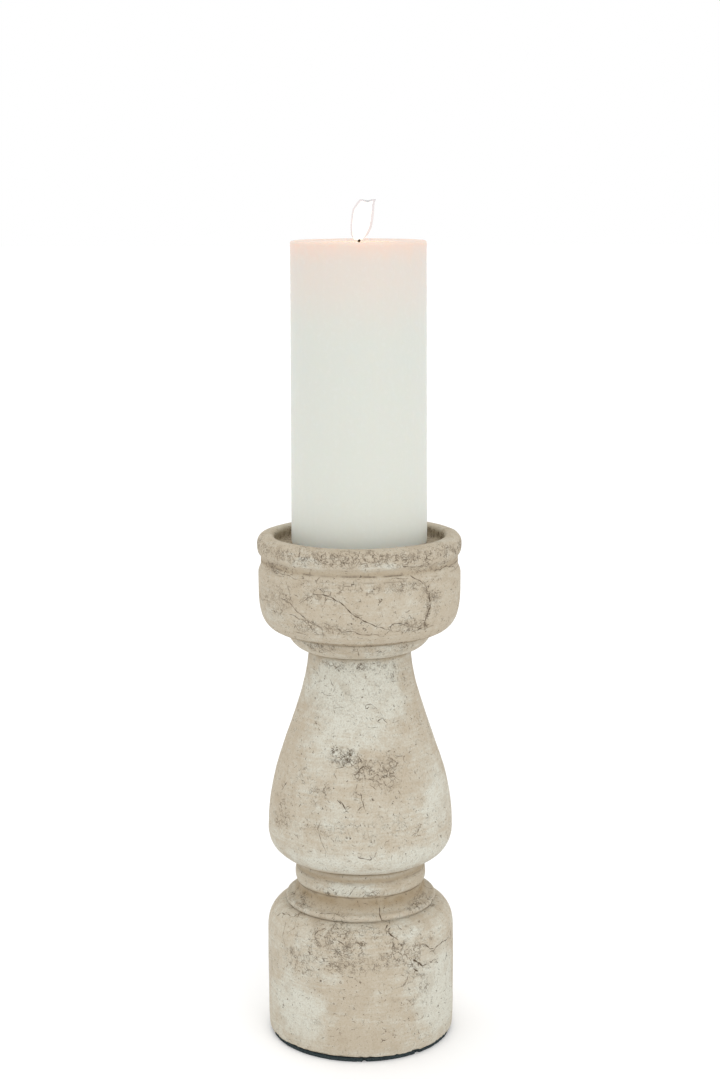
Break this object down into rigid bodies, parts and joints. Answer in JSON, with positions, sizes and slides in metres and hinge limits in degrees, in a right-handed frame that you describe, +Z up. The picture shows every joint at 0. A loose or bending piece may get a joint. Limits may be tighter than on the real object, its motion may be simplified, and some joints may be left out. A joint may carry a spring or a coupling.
{
  "type": "candlestick",
  "caption": "Turned candlestick: drum base, double bead, pear-shaped stem and deep-rimmed cup under a crackled chalky coat, holding a removable pillar candle.",
  "frame": {"origin": "centre of the underside, where the foot pad meets the table", "axes": "+Z up along the turning axis; the object is round about Z, and +X points right as seen from the front, which faces -Y"},
  "size_m": [0.105, 0.105, 0.4136],
  "materials": {
    "pad": "matte",
    "coat": "matte",
    "core_wood": "matte",
    "dowel_wood": "matte",
    "wax": "satin",
    "wick": "matte"
  },
  "bodies": {
    "stand": {"felt_pad": "pad", "base_coat": "coat", "bead_coat": "coat", "stem_coat": "coat", "collar_coat": "coat", "cup_coat": "coat", "base_block": "core_wood", "bead_ring": "core_wood", "stem": "core_wood", "collar_disc": "core_wood", "cup_block": "core_wood", "lower_dowel": "dowel_wood", "upper_dowel": "dowel_wood"},
    "candle": {"candle_wax": "wax", "candle_wick": "wick"}
  },
  "joints": [
    {"name": "candle_lift", "type": "slide", "parent": "stand", "child": "candle", "axis": [0, 0, 1], "range_m": [0, 0.04]}
  ]
}
